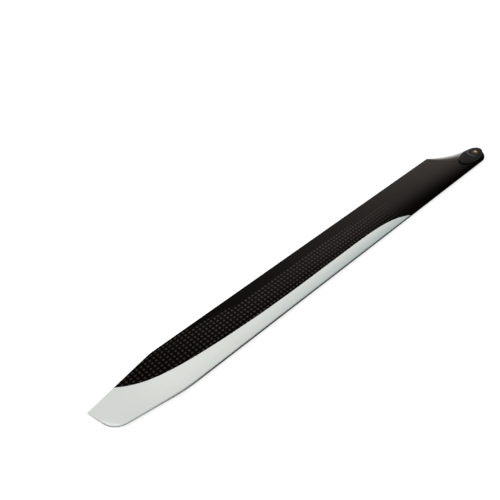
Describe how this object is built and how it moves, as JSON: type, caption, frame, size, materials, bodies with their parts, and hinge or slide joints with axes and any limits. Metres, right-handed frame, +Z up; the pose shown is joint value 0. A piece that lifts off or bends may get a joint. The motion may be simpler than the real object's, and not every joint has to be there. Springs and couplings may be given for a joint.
{
  "type": "helicopter rotor blade",
  "caption": "Straight carbon-fibre rotor blade with a tapered, raked tip, a cut-back root and a bushed bolt hole between two raised grip pads.",
  "frame": {"origin": "centre of the blade bolt's bore, on the chord plane", "axes": "+X along the span to the tip, +Y along the chord to the leading edge, +Z up along the bolt"},
  "size_m": [0.3684, 0.0342, 0.007],
  "materials": {
    "blade_skin": "clear-coated black carbon weave, with a white painted leading edge and tip",
    "root_pad": "matte dark grey laminate",
    "bushing": "turned brass"
  },
  "bodies": {
    "root": {"blade": "blade_skin", "upper_root_pad": "root_pad", "lower_root_pad": "root_pad", "bolt_bushing": "bushing"}
  },
  "joints": []
}
